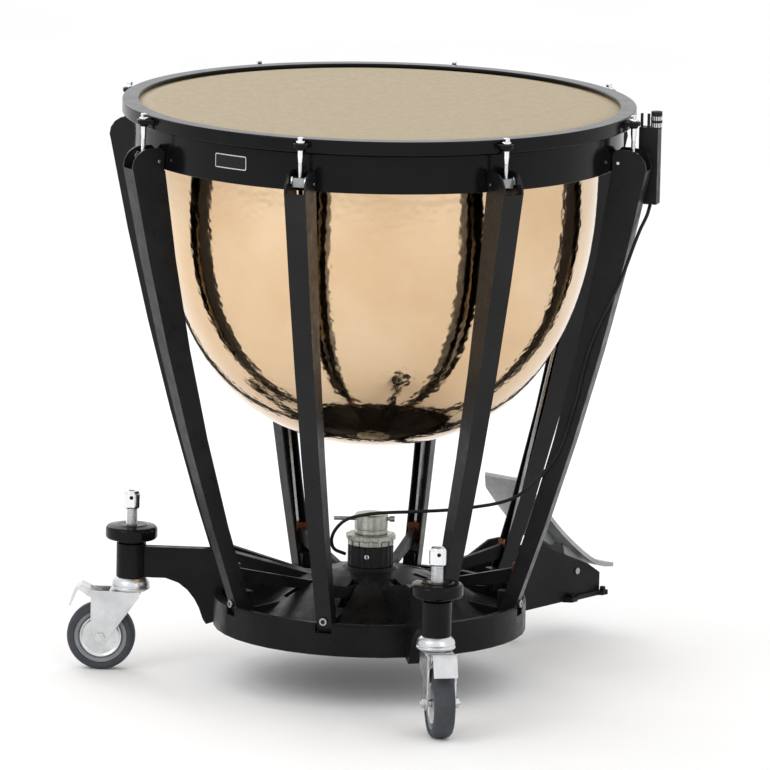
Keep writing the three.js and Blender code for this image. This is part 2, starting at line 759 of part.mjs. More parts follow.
const casters = [
  ['left', POST_ANGLE, 126],
  ['right', -POST_ANGLE, -131],
];
for (const [side, postAngle, trailAngle] of casters) {
  add(`levelling_screw_${side}`, placeCaster(levellingScrew, postAngle, trailAngle), CHROME);
  add(`lock_handwheel_${side}`, placeCaster(handwheel, postAngle, trailAngle), PLASTIC);
  add(`caster_fork_${side}`, placeCaster(fork, postAngle, trailAngle), ZINC);
  add(`caster_wheel_${side}`, placeCaster(wheel, postAngle, trailAngle), RUBBER);
  add(`caster_brake_${side}`, placeCaster(brake, postAngle, trailAngle), ZINC);
}

// ---- tuning gauge on the side of the strut left of the player --------------------------------------------
const GAUGE_STATION = -67.5;
const GAUGE_Y = strutHalf(STRUT_TOP) + GAP;
const GAUGE_BOTTOM = 718;
const GAUGE_TOP = 828;
const GAUGE_FACE = 44;           // side of the gauge that carries the pointer
const gauge = union(
  block(378.5, 406.5, 24, GAUGE_FACE, GAUGE_BOTTOM, GAUGE_TOP),
  standing([[367, 762], [396, 762], [396, 794], [378, 794]], GAUGE_Y, 26),
  bar(2.2, [381.5, 28, GAUGE_TOP - 2], [381.5, 28, GAUGE_TOP + 20], 8),
  bar(2.2, [391.5, 28, GAUGE_TOP - 2], [391.5, 28, GAUGE_TOP + 20], 8),
  bar(8, [401.5, 34, GAUGE_TOP - 1], [401.5, 34, GAUGE_TOP + 23], 16),
);
add('gauge_body', atAngle(gauge, GAUGE_STATION), PLASTIC);

const POINTER_HUB = [393, 743];
const pointer = union(
  bar(
    6,
    [POINTER_HUB[0], GAUGE_FACE + GAP, POINTER_HUB[1]],
    [POINTER_HUB[0], GAUGE_FACE + 4, POINTER_HUB[1]],
    12,
  ),
  standing([
    [POINTER_HUB[0] - 2.5, POINTER_HUB[1]],
    [POINTER_HUB[0] + 2.5, POINTER_HUB[1]],
    [382, 808],
    [380, 808],
  ], GAUGE_FACE + 1, GAUGE_FACE + 2.5),
);
add('gauge_pointer', atAngle(pointer, GAUGE_STATION), STEEL);

// ---- gauge cable: from the gauge, round the strut, down its side and across to the hub --------------------
// Route as [radius, angle, height]; the strut station is at GAUGE_STATION.
function besideStrut(x, y, z) {
  const turn = THREE.MathUtils.degToRad(GAUGE_STATION);
  return new THREE.Vector3(
    x * Math.cos(turn) - y * Math.sin(turn),
    x * Math.sin(turn) + y * Math.cos(turn),
    z,
  );
}

function aroundHub(radius, degrees, z) {
  const turn = THREE.MathUtils.degToRad(degrees);
  return new THREE.Vector3(radius * Math.cos(turn), radius * Math.sin(turn), z);
}

function alongSide(inset, z) {
  return besideStrut(strutOuter(z) - inset, -(strutHalf(z) + 3.4), z);
}

const cableRoute = [
  besideStrut(395, 34, GAUGE_BOTTOM - 2),
  besideStrut(393, 26, 702),
  besideStrut(388, 8, 683),
  besideStrut(383, -7, 661),
  besideStrut(377, -14, 639),
  alongSide(-2, 612),
  alongSide(16, 520),
  alongSide(14, 420),
  alongSide(18, 350),
  besideStrut(225, -22, 290),
  besideStrut(150, -20, 266),
  besideStrut(80, -12, 254),
  aroundHub(36, -142, 249),
  aroundHub(50, -190, 238),
  aroundHub(60, 152, 214),
  aroundHub(54, 140, 192),
  aroundHub(36.4, 136, 183),
];
add('gauge_cable', new THREE.ExtrudeGeometry(roundSection(2.5, 8), {
  steps: 56,
  bevelEnabled: false,
  extrudePath: new THREE.CatmullRomCurve3(cableRoute, false, 'centripetal'),
}), PLASTIC);

export default group;
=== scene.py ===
"""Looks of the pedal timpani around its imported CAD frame. Metres, +Z up, pedal along +X."""

import math

import bpy
import numpy as np
from mathutils import Matrix, Vector


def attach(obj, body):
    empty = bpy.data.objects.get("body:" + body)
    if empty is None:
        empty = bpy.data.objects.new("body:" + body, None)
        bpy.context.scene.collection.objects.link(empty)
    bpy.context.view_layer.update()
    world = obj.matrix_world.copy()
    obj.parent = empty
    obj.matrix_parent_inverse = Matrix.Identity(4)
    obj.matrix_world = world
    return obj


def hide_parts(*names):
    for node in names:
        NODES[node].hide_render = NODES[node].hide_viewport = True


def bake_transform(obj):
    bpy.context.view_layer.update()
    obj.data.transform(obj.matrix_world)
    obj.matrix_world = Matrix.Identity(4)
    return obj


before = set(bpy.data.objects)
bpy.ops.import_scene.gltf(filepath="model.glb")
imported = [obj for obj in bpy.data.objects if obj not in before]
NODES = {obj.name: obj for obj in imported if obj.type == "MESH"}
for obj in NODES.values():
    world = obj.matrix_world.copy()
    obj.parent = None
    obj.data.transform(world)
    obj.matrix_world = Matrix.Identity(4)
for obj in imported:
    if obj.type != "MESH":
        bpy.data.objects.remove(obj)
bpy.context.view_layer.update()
COLLECTION = bpy.context.scene.collection
MM = 0.001

# Driving dimensions, in millimetres, the same as the CAD frame's.
STATIONS = 8
HOOP_TOP, HOOP_OUTER, HOOP_INNER, HOOP_DEPTH = 845, 368, 344.5, 20
COLLAR_OUTER, COLLAR_BOTTOM, COLLAR_TOP = 350, 768, 822
BOWL_RADIUS, BOWL_BOTTOM, BOWL_WALL, LIP_RADIUS = 316, 351, 3, 324
FLANGE_RADIUS, FLANGE_Z = COLLAR_OUTER - 13, COLLAR_BOTTOM + 6.4
HEAD_TOP = 842
FLESH_TOP, FLESH_BOTTOM = HOOP_TOP - 6.6, HOOP_TOP - 15
ROD_CIRCLE, NUT_Z = 377, 785.5
LUG_TOP, LUG_BOTTOM = 840, 830
STRUT_TOP, STRUT_FOOT = 800, 112
STRUT_HEAD_HALF, STRUT_FOOT_HALF = 15.9, 11.25  # half widths, at the head and at the foot
POST_CIRCLE, POST_ANGLE, POST_TOP = 347, 124.9, 187
WHEEL_RADIUS, TRAIL = 49.5, 42
GAUGE_STATION, GAUGE_BOTTOM, GAUGE_TOP = -67.5, 718, 828
PLAQUE_ANGLE, PLAQUE_Z = -176.9, 799


def station_angle(index):
    return 22.5 + 360 / STATIONS * index


def turn(degrees):
    return Matrix.Rotation(math.radians(degrees), 4, "Z")


def shift(x, y, z):
    """Millimetres to a translation in metres."""
    return Matrix.Translation(Vector((x, y, z)) * MM)


# ---- camera and light ------------------------------------------------------------------------
AIM = Vector((0, 0, 0.421))
CAMERA_DISTANCE = 13.25
CAMERA_RISE = math.radians(10.77)
CAMERA_HEADING = math.radians(39.22)  # heading of the line of sight, from +X towards +Y
CAMERA_ROLL = math.radians(1.18)
ASIDE, ABOVE = 0.0159, 0.0102  # how far the camera slides off the aim, so the drum sits as framed


def make_camera():
    flat = Vector((math.cos(CAMERA_HEADING), math.sin(CAMERA_HEADING), 0))
    sight = flat * math.cos(CAMERA_RISE) - Vector((0, 0, math.sin(CAMERA_RISE)))
    right = Vector((flat.y, -flat.x, 0))
    up = right.cross(sight)
    place = AIM - sight * CAMERA_DISTANCE + right * ASIDE + up * ABOVE
    data = bpy.data.cameras.new("camera")
    data.lens = 430.6
    data.sensor_width = 36
    data.clip_start, data.clip_end = 1, 60
    camera = bpy.data.objects.new("camera", data)
    COLLECTION.objects.link(camera)
    axes = Matrix((right, up, -sight)).transposed().to_4x4()
    camera.matrix_world = Matrix.Translation(place) @ axes @ Matrix.Rotation(CAMERA_ROLL, 4, "Z")
    bpy.context.scene.camera = camera
    return flat, right


VIEW_AHEAD, VIEW_RIGHT = make_camera()


def area_light(name, aside, back, height, size, watts, colour=(1, 1, 1)):
    """A soft box placed beside (to the picture's right), behind and above the drum, facing it."""
    data = bpy.data.lights.new(name, "AREA")
    data.shape = "RECTANGLE"
    data.size, data.size_y = size
    data.energy = watts
    data.color = colour
    light = bpy.data.objects.new(name, data)
    COLLECTION.objects.link(light)
    place = VIEW_RIGHT * aside + VIEW_AHEAD * back + Vector((0, 0, height))
    light.location = place
    light.rotation_mode = "QUATERNION"
    light.rotation_quaternion = (AIM - place).to_track_quat("-Z", "Y")


def set_stops(ramp, stops):
    """Fills a colour ramp, last stop first, so that no stop ever passes another."""
    while len(ramp.elements) < len(stops):
        ramp.elements.new(0.5)
    for element, (position, colour) in list(zip(ramp.elements, stops))[::-1]:
        element.position = position
        element.color = (*colour, 1)


WORLD_STRENGTH = 1.08


def make_world():
    world = bpy.data.worlds.new("studio")
    bpy.context.scene.world = world
    world.use_nodes = True
    background = world.node_tree.nodes["Background"]
    background.inputs["Color"].default_value = (1, 1, 1, 1)
    background.inputs["Strength"].default_value = WORLD_STRENGTH


make_world()
area_light("key", -2.6, -2.6, 2.8, (1.8, 2.4), 34)
area_light("fill", 2.4, -2.8, 2.0, (1.2, 2.4), 12)
area_light("rim", -1.6, 2.6, 2.2, (1.2, 2.0), 22)
bpy.context.scene.view_settings.view_transform = "Standard"


# ---- meshes ----------------------------------------------------------------------------------
class Shape:
    """Collects vertices and faces, in metres, before they become one piece."""

    def __init__(self):
        self.verts = []
        self.faces = []

    def add(self, verts, faces, place=Matrix.Identity(4)):
        start = len(self.verts)
        self.verts += [place @ Vector(v) for v in verts]
        self.faces += [[start + i for i in face] for face in faces]
        return self

    def lathe(self, profile, sides, place=Matrix.Identity(4), closed=False):
        """Turns [radius, height] pairs in millimetres, bottom to top on the outside, about the vertical."""
        rings, verts, faces = [], [], []
        for radius, height in profile:
            if radius < 1e-6:
                rings.append([len(verts)] * sides)
                verts.append((0, 0, height * MM))
                continue
            rings.append(list(range(len(verts), len(verts) + sides)))
            for j in range(sides):
                angle = 2 * math.pi * j / sides
                verts.append((radius * MM * math.cos(angle), radius * MM * math.sin(angle), height * MM))
        pairs = list(zip(rings, rings[1:]))
        if closed:
            pairs.append((rings[-1], rings[0]))
        for low, high in pairs:
            for j in range(sides):
                k = (j + 1) % sides
                face = []
                for index in (low[j], low[k], high[k], high[j]):
                    if index not in face:
                        face.append(index)
                if len(face) > 2:
                    faces.append(face)
        return self.add(verts, faces, place)

    def prism(self, outline, low, high, place=Matrix.Identity(4)):
        """Extrudes an [x, y] outline in millimetres, anticlockwise seen from above, from low to high."""
        count = len(outline)
        verts = [(x * MM, y * MM, low * MM) for x, y in outline]
        verts += [(x * MM, y * MM, high * MM) for x, y in outline]
        faces = [list(range(count))[::-1], list(range(count, 2 * count))]
        for i in range(count):
            k = (i + 1) % count
            faces.append([i, k, count + k, count + i])
        return self.add(verts, faces, place)

    def box(self, x0, x1, y0, y1, z0, z1, place=Matrix.Identity(4)):
        return self.prism([(x0, y0), (x1, y0), (x1, y1), (x0, y1)], z0, z1, place)


def set_smooth(mesh, sharp_degrees):
    mesh.polygons.foreach_set("use_smooth", [True] * len(mesh.polygons))
    mesh.set_sharp_from_angle(angle=math.radians(sharp_degrees))


def even_normals(obj):
    """Lets the large flat faces decide the shading beside rounded edges."""
    weighting = obj.modifiers.new("face_normals", "WEIGHTED_NORMAL")
    weighting.keep_sharp = False
    weighting.weight = 80


def bevel(obj, width_mm, segments=2, degrees=38):
    rounding = obj.modifiers.new("edge_rounding", "BEVEL")
    rounding.width = width_mm * MM
    rounding.segments = segments
    rounding.limit_method = "ANGLE"
    rounding.angle_limit = math.radians(degrees)
    rounding.use_clamp_overlap = True
    even_normals(obj)


def piece(name, shape, material, body, replaces=(), rounding=0, sharp=40):
    """Makes one object from a shape, gives it its finish and hangs it on its CAD body."""
    mesh = bpy.data.meshes.new(name)
    mesh.from_pydata([tuple(v) for v in shape.verts], [], shape.faces)
    mesh.validate()
    mesh.materials.append(material)
    obj = bpy.data.objects.new(name, mesh)
    COLLECTION.objects.link(obj)
    if rounding:
        mesh.polygons.foreach_set("use_smooth", [True] * len(mesh.polygons))
        bevel(obj, rounding)
    else:
        set_smooth(mesh, sharp)
    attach(obj, body)
    if replaces:
        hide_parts(*replaces)
    return obj


def dress(node, material, rounding):
    """Keeps a CAD node and gives it a material, merged flat faces and rounded edges."""
    obj = NODES[node]
    mesh = obj.data
    mesh.materials.clear()
    mesh.materials.append(material)
    for layer in ("custom_normal", "sharp_face", "sharp_edge"):
        if layer in mesh.attributes:
            mesh.attributes.remove(mesh.attributes[layer])
    mesh.polygons.foreach_set("use_smooth", [True] * len(mesh.polygons))
    weld = obj.modifiers.new("weld", "WELD")
    weld.merge_threshold = 1e-5
    flatten = obj.modifiers.new("flatten", "DECIMATE")
    flatten.decimate_type = "DISSOLVE"
    flatten.angle_limit = math.radians(0.6)
    bevel(obj, rounding)


def soften(points, radius, steps=3, closed=False):
    """Rounds the corners of a polyline by cutting each back by the radius and curving across."""
    count = len(points)
    result = []
    for i, (x, z) in enumerate(points):
        if not closed and i in (0, count - 1):
            result.append((x, z))
            continue
        before, after = points[i - 1], points[(i + 1) % count]
        corner = Vector((x, z))
        back = Vector(before) - corner
        ahead = Vector(after) - corner
        cut = min(radius, 0.45 * back.length, 0.45 * ahead.length)
        start = corner + back.normalized() * cut
        end = corner + ahead.normalized() * cut
        for s in range(steps + 1):
            t = s / steps
            point = start * (1 - t) ** 2 + corner * 2 * t * (1 - t) + end * t**2
            result.append((point.x, point.y))
    return result


def arc(cx, cy, radius, start, end, steps):
    angles = [math.radians(start + (end - start) * i / steps) for i in range(steps + 1)]
    return [(cx + radius * math.cos(a), cy + radius * math.sin(a)) for a in angles]


# ---- materials -------------------------------------------------------------------------------
class Finish:
    """A Principled material with helpers for the procedural detail that every finish shares."""

    def __init__(self, name, metallic, coat=0.0, coat_roughness=0.05, specular=0.5):
        self.material = bpy.data.materials.new(name)
        self.material.use_nodes = True
        self.tree = self.material.node_tree
        self.shader = self.tree.nodes["Principled BSDF"]
        self.shader.inputs["Metallic"].default_value = metallic
        self.shader.inputs["Coat Weight"].default_value = coat
        self.shader.inputs["Coat Roughness"].default_value = coat_roughness
        self.shader.inputs["Specular IOR Level"].default_value = specular
        self.place = self.tree.nodes.new("ShaderNodeTexCoord").outputs["Object"]
        self.last_bump = None

    def link(self, source, target):
        self.tree.links.new(source, target)

    def stretched(self, x, y, z):
        node = self.tree.nodes.new("ShaderNodeMapping")
        node.inputs["Scale"].default_value = (x, y, z)
        self.link(self.place, node.inputs["Vector"])
        return node.outputs["Vector"]

    def noise(self, scale, detail=3.0, vector=None, roughness=0.55):
        node = self.tree.nodes.new("ShaderNodeTexNoise")
        node.inputs["Scale"].default_value = scale
        node.inputs["Detail"].default_value = detail
        node.inputs["Roughness"].default_value = roughness
        self.link(vector or self.place, node.inputs["Vector"])
        return node.outputs["Fac"]

    def cells(self, scale, smoothness=0.6):
        node = self.tree.nodes.new("ShaderNodeTexVoronoi")
        node.feature = "SMOOTH_F1"
        node.inputs["Scale"].default_value = scale
        node.inputs["Smoothness"].default_value = smoothness
        self.link(self.place, node.inputs["Vector"])
        return node.outputs["Distance"]

    def spread(self, value, low, high, start=0.3, end=0.7):
        node = self.tree.nodes.new("ShaderNodeMapRange")
        node.inputs["From Min"].default_value = start
        node.inputs["From Max"].default_value = end
        node.inputs["To Min"].default_value = low
        node.inputs["To Max"].default_value = high
        self.link(value, node.inputs["Value"])
        return node.outputs["Result"]

    def ramp(self, value, stops):
        """Colour by value through (position, (r, g, b)) stops."""
        node = self.tree.nodes.new("ShaderNodeValToRGB")
        set_stops(node.color_ramp, stops)
        self.link(value, node.inputs["Fac"])
        return node.outputs["Color"]

    def colours(self, value, stops):
        self.link(self.ramp(value, stops), self.shader.inputs["Base Color"])
        return self

    def above(self, height, low_colour, high_colour):
        """One colour below a height in metres and another above it."""
        split = self.tree.nodes.new("ShaderNodeSeparateXYZ")
        self.link(self.place, split.inputs["Vector"])
        step = self.spread(split.outputs["Z"], 0, 1, height - 0.001, height + 0.001)
        mix = self.tree.nodes.new("ShaderNodeMix")
        mix.data_type = "RGBA"
        self.link(step, mix.inputs[0])
        self.link(low_colour, mix.inputs[6])
        self.link(high_colour, mix.inputs[7])
        self.link(mix.outputs[2], self.shader.inputs["Base Color"])
        return self

    def rough(self, value, low, high):
        self.link(self.spread(value, low, high), self.shader.inputs["Roughness"])
        return self

    def bump(self, height, depth_mm, strength=1.0):
        node = self.tree.nodes.new("ShaderNodeBump")
        node.inputs["Strength"].default_value = strength
        node.inputs["Distance"].default_value = depth_mm * MM
        self.link(height, node.inputs["Height"])
        if self.last_bump:
            self.link(self.last_bump, node.inputs["Normal"])
        self.last_bump = node.outputs["Normal"]
        self.link(self.last_bump, self.shader.inputs["Normal"])
        return self


def black_enamel(name, specular):
    """Satin enamel: faint orange peel, dust and handling marks in the gloss."""
    f = Finish(name, 0.0, specular=specular)
    f.colours(f.noise(14, 5), [(0.3, (0.0045, 0.0045, 0.005)), (0.7, (0.010, 0.010, 0.011))])
    f.rough(f.noise(55, 4), 0.24, 0.44)
    f.bump(f.noise(420, 2), 0.06, 0.5)
    f.bump(f.noise(60, 3), 0.12, 0.35)
    return f.material


def black_gloss():
    """Polished enamel of the collar and counterhoop."""
    f = Finish("black_gloss", 0.0, specular=0.13)
    f.colours(f.noise(9, 4), [(0.3, (0.0025, 0.0026, 0.003)), (0.7, (0.005, 0.0052, 0.006))])
    f.rough(f.noise(40, 4), 0.10, 0.22)
    f.bump(f.noise(160, 2), 0.03, 0.35)
    return f.material


def black_plastic():
    f = Finish("black_plastic", 0.0, specular=0.2)
    f.colours(f.noise(30, 4), [(0.3, (0.005, 0.005, 0.0055)), (0.7, (0.011, 0.011, 0.0115))])
    f.rough(f.noise(80, 4), 0.36, 0.52)
    f.bump(f.noise(900, 2), 0.05, 0.5)
    return f.material


def copper():
    """Hammered copper: dents in the mesh, planishing marks and slight colour drift here."""
    f = Finish("copper", 1.0)
    f.colours(
        f.noise(7, 5, roughness=0.6),
        [(0.25, (0.64, 0.43, 0.250)), (0.5, (0.68, 0.49, 0.305)), (0.75, (0.72, 0.54, 0.355))],
    )
    f.rough(f.noise(45, 4), 0.06, 0.12)
    f.bump(f.cells(105), 0.26, 0.9)
    f.bump(f.noise(300, 3), 0.07, 0.7)
    return f.material


def metal(name, dark, light, rough_low, rough_high, grain=(1, 1, 1), grain_scale=60, depth=0.02):
    """Bare or plated metal: cloudy tone, smudged gloss and fine lines along the grain."""
    f = Finish(name, 1.0)
    lines = f.noise(grain_scale, 4, f.stretched(*grain))
    f.colours(f.noise(26, 5), [(0.3, dark), (0.7, light)])
    f.rough(lines, rough_low, rough_high)
    f.bump(lines, depth, 0.5)
    return f.material


CLEVIS_TOP = 189


def linkage():
    """Drawn steel rod over a bronze clevis."""
    f = Finish("linkage_steel", 1.0)
    cloud = f.noise(30, 5)
    lines = f.noise(220, 4, f.stretched(1, 1, 0.1))
    bronze = f.ramp(cloud, [(0.3, (0.16, 0.055, 0.03)), (0.7, (0.30, 0.12, 0.065))])
    steel = f.ramp(cloud, [(0.3, (0.24, 0.245, 0.25)), (0.7, (0.42, 0.43, 0.44))])
    f.above(CLEVIS_TOP * MM, bronze, steel)
    f.rough(lines, 0.2, 0.38)
    f.bump(lines, 0.02, 0.5)
    return f.material


def head_film():
    """Matte cream film with fine cloudy fibres."""
    f = Finish("head_film", 0.0, specular=0.35)
    fibres = f.noise(38, 8, roughness=0.7)
    f.colours(
        fibres,
        [(0.25, (0.335, 0.265, 0.158)), (0.55, (0.372, 0.296, 0.180)), (0.8, (0.408, 0.328, 0.206))],
    )
    f.rough(f.noise(120, 5), 0.42, 0.60)
    f.bump(f.noise(700, 4), 0.05, 0.45)
    return f.material


def rubber(name, dark, light, rough_low=0.55, rough_high=0.8):
    f = Finish(name, 0.0, specular=0.35)
    f.colours(f.noise(35, 6), [(0.3, dark), (0.7, light)])
    f.rough(f.noise(90, 4), rough_low, rough_high)
    f.bump(f.noise(520, 3), 0.08, 0.5)
    return f.material


def floor_paint():
    f = Finish("floor_paint", 0.0, specular=0.2)
    f.colours(f.noise(1.5, 3), [(0.3, (0.90, 0.90, 0.90)), (0.7, (0.94, 0.94, 0.94))])
    f.rough(f.noise(20, 3), 0.6, 0.75)
    return f.material


ENAMEL = black_enamel("black_enamel", 0.2)
BASE_ENAMEL = black_enamel("base_enamel", 0.09)
GLOSS = black_gloss()
PLASTIC = black_plastic()
COPPER = copper()
CHROME = metal("chrome", (0.70, 0.71, 0.73), (0.82, 0.83, 0.85), 0.05, 0.14, depth=0.006)
STEEL = metal("bright_steel", (0.42, 0.43, 0.44), (0.60, 0.61, 0.62), 0.22, 0.40, (1, 1, 0.08), 220)
ZINC = metal("zinc_plate", (0.50, 0.51, 0.52), (0.70, 0.71, 0.72), 0.20, 0.38, grain_scale=34, depth=0.03)
NICKEL = metal("nickel_plate", (0.29, 0.295, 0.265), (0.42, 0.425, 0.385), 0.26, 0.42, (0.1, 0.1, 1), 260)
CAST = metal("cast_aluminium", (0.30, 0.31, 0.31), (0.42, 0.43, 0.43), 0.38, 0.58, grain_scale=180, depth=0.1)
LINKAGE = linkage()
PLAQUE = metal("plaque_silver", (0.50, 0.51, 0.52), (0.66, 0.67, 0.68), 0.22, 0.36, (1, 1, 0.1), 300)
FILM = head_film()
TYRE = rubber("tyre_rubber", (0.030, 0.033, 0.039), (0.046, 0.050, 0.058))
WHEEL_CORE = rubber("wheel_core", (0.15, 0.158, 0.165), (0.21, 0.22, 0.228), 0.35, 0.5)
FOOT_RUBBER = rubber("foot_rubber", (0.18, 0.18, 0.185), (0.25, 0.25, 0.255))
FLOOR = floor_paint()


# ---- gauge cable -----------------------------------------------------------------------------
CABLE_DIAMETER = 5


def strut_outer(z):
    """Radius of a strut's outer edge, which bows gently outward from foot to head."""
    rise = (z - 118) / 611
    return 220 + 217 * rise - 45 * rise * rise


def strut_half(z):
    """Half width of a strut, which narrows steadily down to its foot."""
    rise = (z - STRUT_FOOT) / (STRUT_TOP - STRUT_FOOT)
    return STRUT_FOOT_HALF + (STRUT_HEAD_HALF - STRUT_FOOT_HALF) * rise


def beside_strut(x, y, z):
    return turn(GAUGE_STATION) @ (Vector((x, y, z)) * MM)


def around_hub(radius, degrees, z):
    angle = math.radians(degrees)
    return Vector((radius * math.cos(angle), radius * math.sin(angle), z)) * MM


def along_side(inset, z):
    return beside_strut(strut_outer(z) - inset, -(strut_half(z) + 3.4), z)


CABLE_ROUTE = [
    beside_strut(395, 34, GAUGE_BOTTOM - 2),
    beside_strut(393, 26, 702),
    beside_strut(388, 8, 683),
    beside_strut(383, -7, 661),
    beside_strut(377, -14, 639),
    along_side(-2, 612),
    along_side(16, 520),
    along_side(14, 420),
    along_side(18, 350),
    beside_strut(225, -22, 290),
    beside_strut(150, -20, 266),
    beside_strut(80, -12, 254),
    around_hub(36, -142, 249),
    around_hub(50, -190, 238),
    around_hub(60, 152, 214),
    around_hub(54, 140, 192),
    around_hub(36.4, 136, 183),
]


def smooth_line(points, steps):
    """Centripetal Catmull-Rom line through the points."""
    ends = [points[0] * 2 - points[1]] + list(points) + [points[-1] * 2 - points[-2]]
    line = []
    for i in range(1, len(ends) - 2):
        p0, p1, p2, p3 = ends[i - 1 : i + 3]
        t0 = 0.0
        t1 = t0 + (p1 - p0).length ** 0.5
        t2 = t1 + (p2 - p1).length ** 0.5
        t3 = t2 + (p3 - p2).length ** 0.5
        for s in range(steps):
            t = t1 + (t2 - t1) * s / steps
            a1 = p0 * ((t1 - t) / (t1 - t0)) + p1 * ((t - t0) / (t1 - t0))
            a2 = p1 * ((t2 - t) / (t2 - t1)) + p2 * ((t - t1) / (t2 - t1))
            a3 = p2 * ((t3 - t) / (t3 - t2)) + p3 * ((t - t2) / (t3 - t2))
            b1 = a1 * ((t2 - t) / (t2 - t0)) + a2 * ((t - t0) / (t2 - t0))
            b2 = a2 * ((t3 - t) / (t3 - t1)) + a3 * ((t - t1) / (t3 - t1))
            line.append(b1 * ((t2 - t) / (t2 - t1)) + b2 * ((t - t1) / (t2 - t1)))
    return line + [points[-1]]


def gauge_cable():
    line = smooth_line(CABLE_ROUTE, 5)
    curve = bpy.data.curves.new("gauge_cable_sheath", "CURVE")
    curve.dimensions = "3D"
    curve.bevel_depth = CABLE_DIAMETER / 2 * MM
    curve.bevel_resolution = 4
    curve.use_fill_caps = True
    spline = curve.splines.new("POLY")
    spline.points.add(len(line) - 1)
    for point, place in zip(spline.points, line):
        point.co = (*place, 1)
    spline.use_smooth = True
    curve.materials.append(PLASTIC)
    obj = bpy.data.objects.new("gauge_cable_sheath", curve)
    COLLECTION.objects.link(obj)
    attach(obj, "frame")
    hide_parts("gauge_cable")


gauge_cable()


# ---- bowl ------------------------------------------------------------------------------------
def bowl_wall(offset, steps):
    """Rounded bowl outline from the vent hole up to the collar."""
    points = []
    for i in range(steps + 1):
        swing = math.pi / 2 * i / steps
        across = math.sin(swing) ** (2 / 2.35)
        down = math.cos(swing) ** (2 / 2.35)
        depth = COLLAR_BOTTOM - BOWL_BOTTOM - offset
        points.append((max(12, (BOWL_RADIUS - offset) * across), COLLAR_BOTTOM - depth * down))
    return points


def even_line(points, step):
    """The same outline with points a fixed step apart."""
    places = np.array(points)
    lengths = np.concatenate([[0], np.cumsum(np.linalg.norm(np.diff(places, axis=0), axis=1))])
    wanted = np.linspace(0, lengths[-1], int(lengths[-1] / step) + 1)
    return list(zip(np.interp(wanted, lengths, places[:, 0]), np.interp(wanted, lengths, places[:, 1])))


DENT_PITCH = 11.5
DENT_DEPTH = 0.30


def hammered(around, along, radius, seed=5):
    """Depth of the hammer marks, in millimetres, at distances along the wall and angles round it."""
    rng = np.random.default_rng(seed)
    rows = int(along.max() / DENT_PITCH) + 3
    most = int(2 * math.pi * BOWL_RADIUS / DENT_PITCH) + 3
    jitter = rng.uniform(-0.32, 0.32, (rows, most, 2))
    weight = rng.uniform(0.45, 1.0, (rows, most))
    row = np.floor(along / DENT_PITCH).astype(int)
    depth = np.zeros_like(along)
    for dr in (-1, 0, 1):
        r = np.clip(row + dr, 0, rows - 1)
        count = np.maximum(1, np.round(2 * math.pi * radius / DENT_PITCH)).astype(int)
        column = np.floor(around / (2 * math.pi) * count + 0.5 * (r % 2)).astype(int)
        for dc in (-1, 0, 1):
            c = (column + dc) % np.minimum(count, most - 1)
            x = (around / (2 * math.pi) * count + 0.5 * (r % 2) - (column + dc) - 0.5 - jitter[r, c, 0])
            y = along / DENT_PITCH - r - 0.5 - jitter[r, c, 1]
            reach = np.clip(1 - (x * x + y * y) / 0.72, 0, None)
            depth = np.maximum(depth, weight[r, c] * reach)
    return depth * DENT_DEPTH


def make_bowl():
    sides = 720
    outer = even_line(bowl_wall(0, 400), 2.7)
    rim = soften(
        [
            (BOWL_RADIUS, COLLAR_BOTTOM - 1),
            (BOWL_RADIUS + 1, FLANGE_Z),
            (FLANGE_RADIUS, FLANGE_Z),
            (FLANGE_RADIUS, FLANGE_Z + 3.6),
            (BOWL_RADIUS + 2, FLANGE_Z + 3.6),
            (LIP_RADIUS, HEAD_TOP - 4),
            (LIP_RADIUS, HEAD_TOP - 1.4),
            (LIP_RADIUS - BOWL_WALL, HEAD_TOP - 1.4),
            (BOWL_RADIUS - BOWL_WALL, FLANGE_Z),
        ],
        0.8,
    )
    inner = bowl_wall(BOWL_WALL, 48)[::-1]
    shape = Shape().lathe(outer + rim + inner, sides, closed=True)
    verts = np.array([tuple(v) for v in shape.verts])
    count = len(outer) * sides
    wall = verts[:count]
    radius = np.hypot(wall[:, 0], wall[:, 1]) / MM
    around = np.arctan2(wall[:, 1], wall[:, 0]) % (2 * math.pi)
    profile = np.array(outer)
    steps = np.concatenate([[0], np.cumsum(np.linalg.norm(np.diff(profile, axis=0), axis=1))])
    along = np.repeat(steps, sides)
    slope = np.gradient(profile, axis=0)
    slope /= np.linalg.norm(slope, axis=1)[:, None]
    out = np.repeat(np.stack([slope[:, 1], -slope[:, 0]], axis=1), sides, axis=0)
    swell = np.sin(around * 9 + along * 0.021) * 0.10 + np.sin(around * 17 - along * 0.034 + 1.3) * 0.07
    depth = hammered(around, along, radius) - swell
    fade = np.clip((radius - 14) / 20, 0, 1) * np.clip((steps[-1] - along) / 12, 0, 1)
    move = -depth * fade * MM
    wall[:, 0] += np.cos(around) * out[:, 0] * move
    wall[:, 1] += np.sin(around) * out[:, 0] * move
    wall[:, 2] += out[:, 1] * move
    shape.verts = [Vector(v) for v in verts]
    piece("bowl_copper", shape, COPPER, "frame", ["bowl"], sharp=50)


make_bowl()


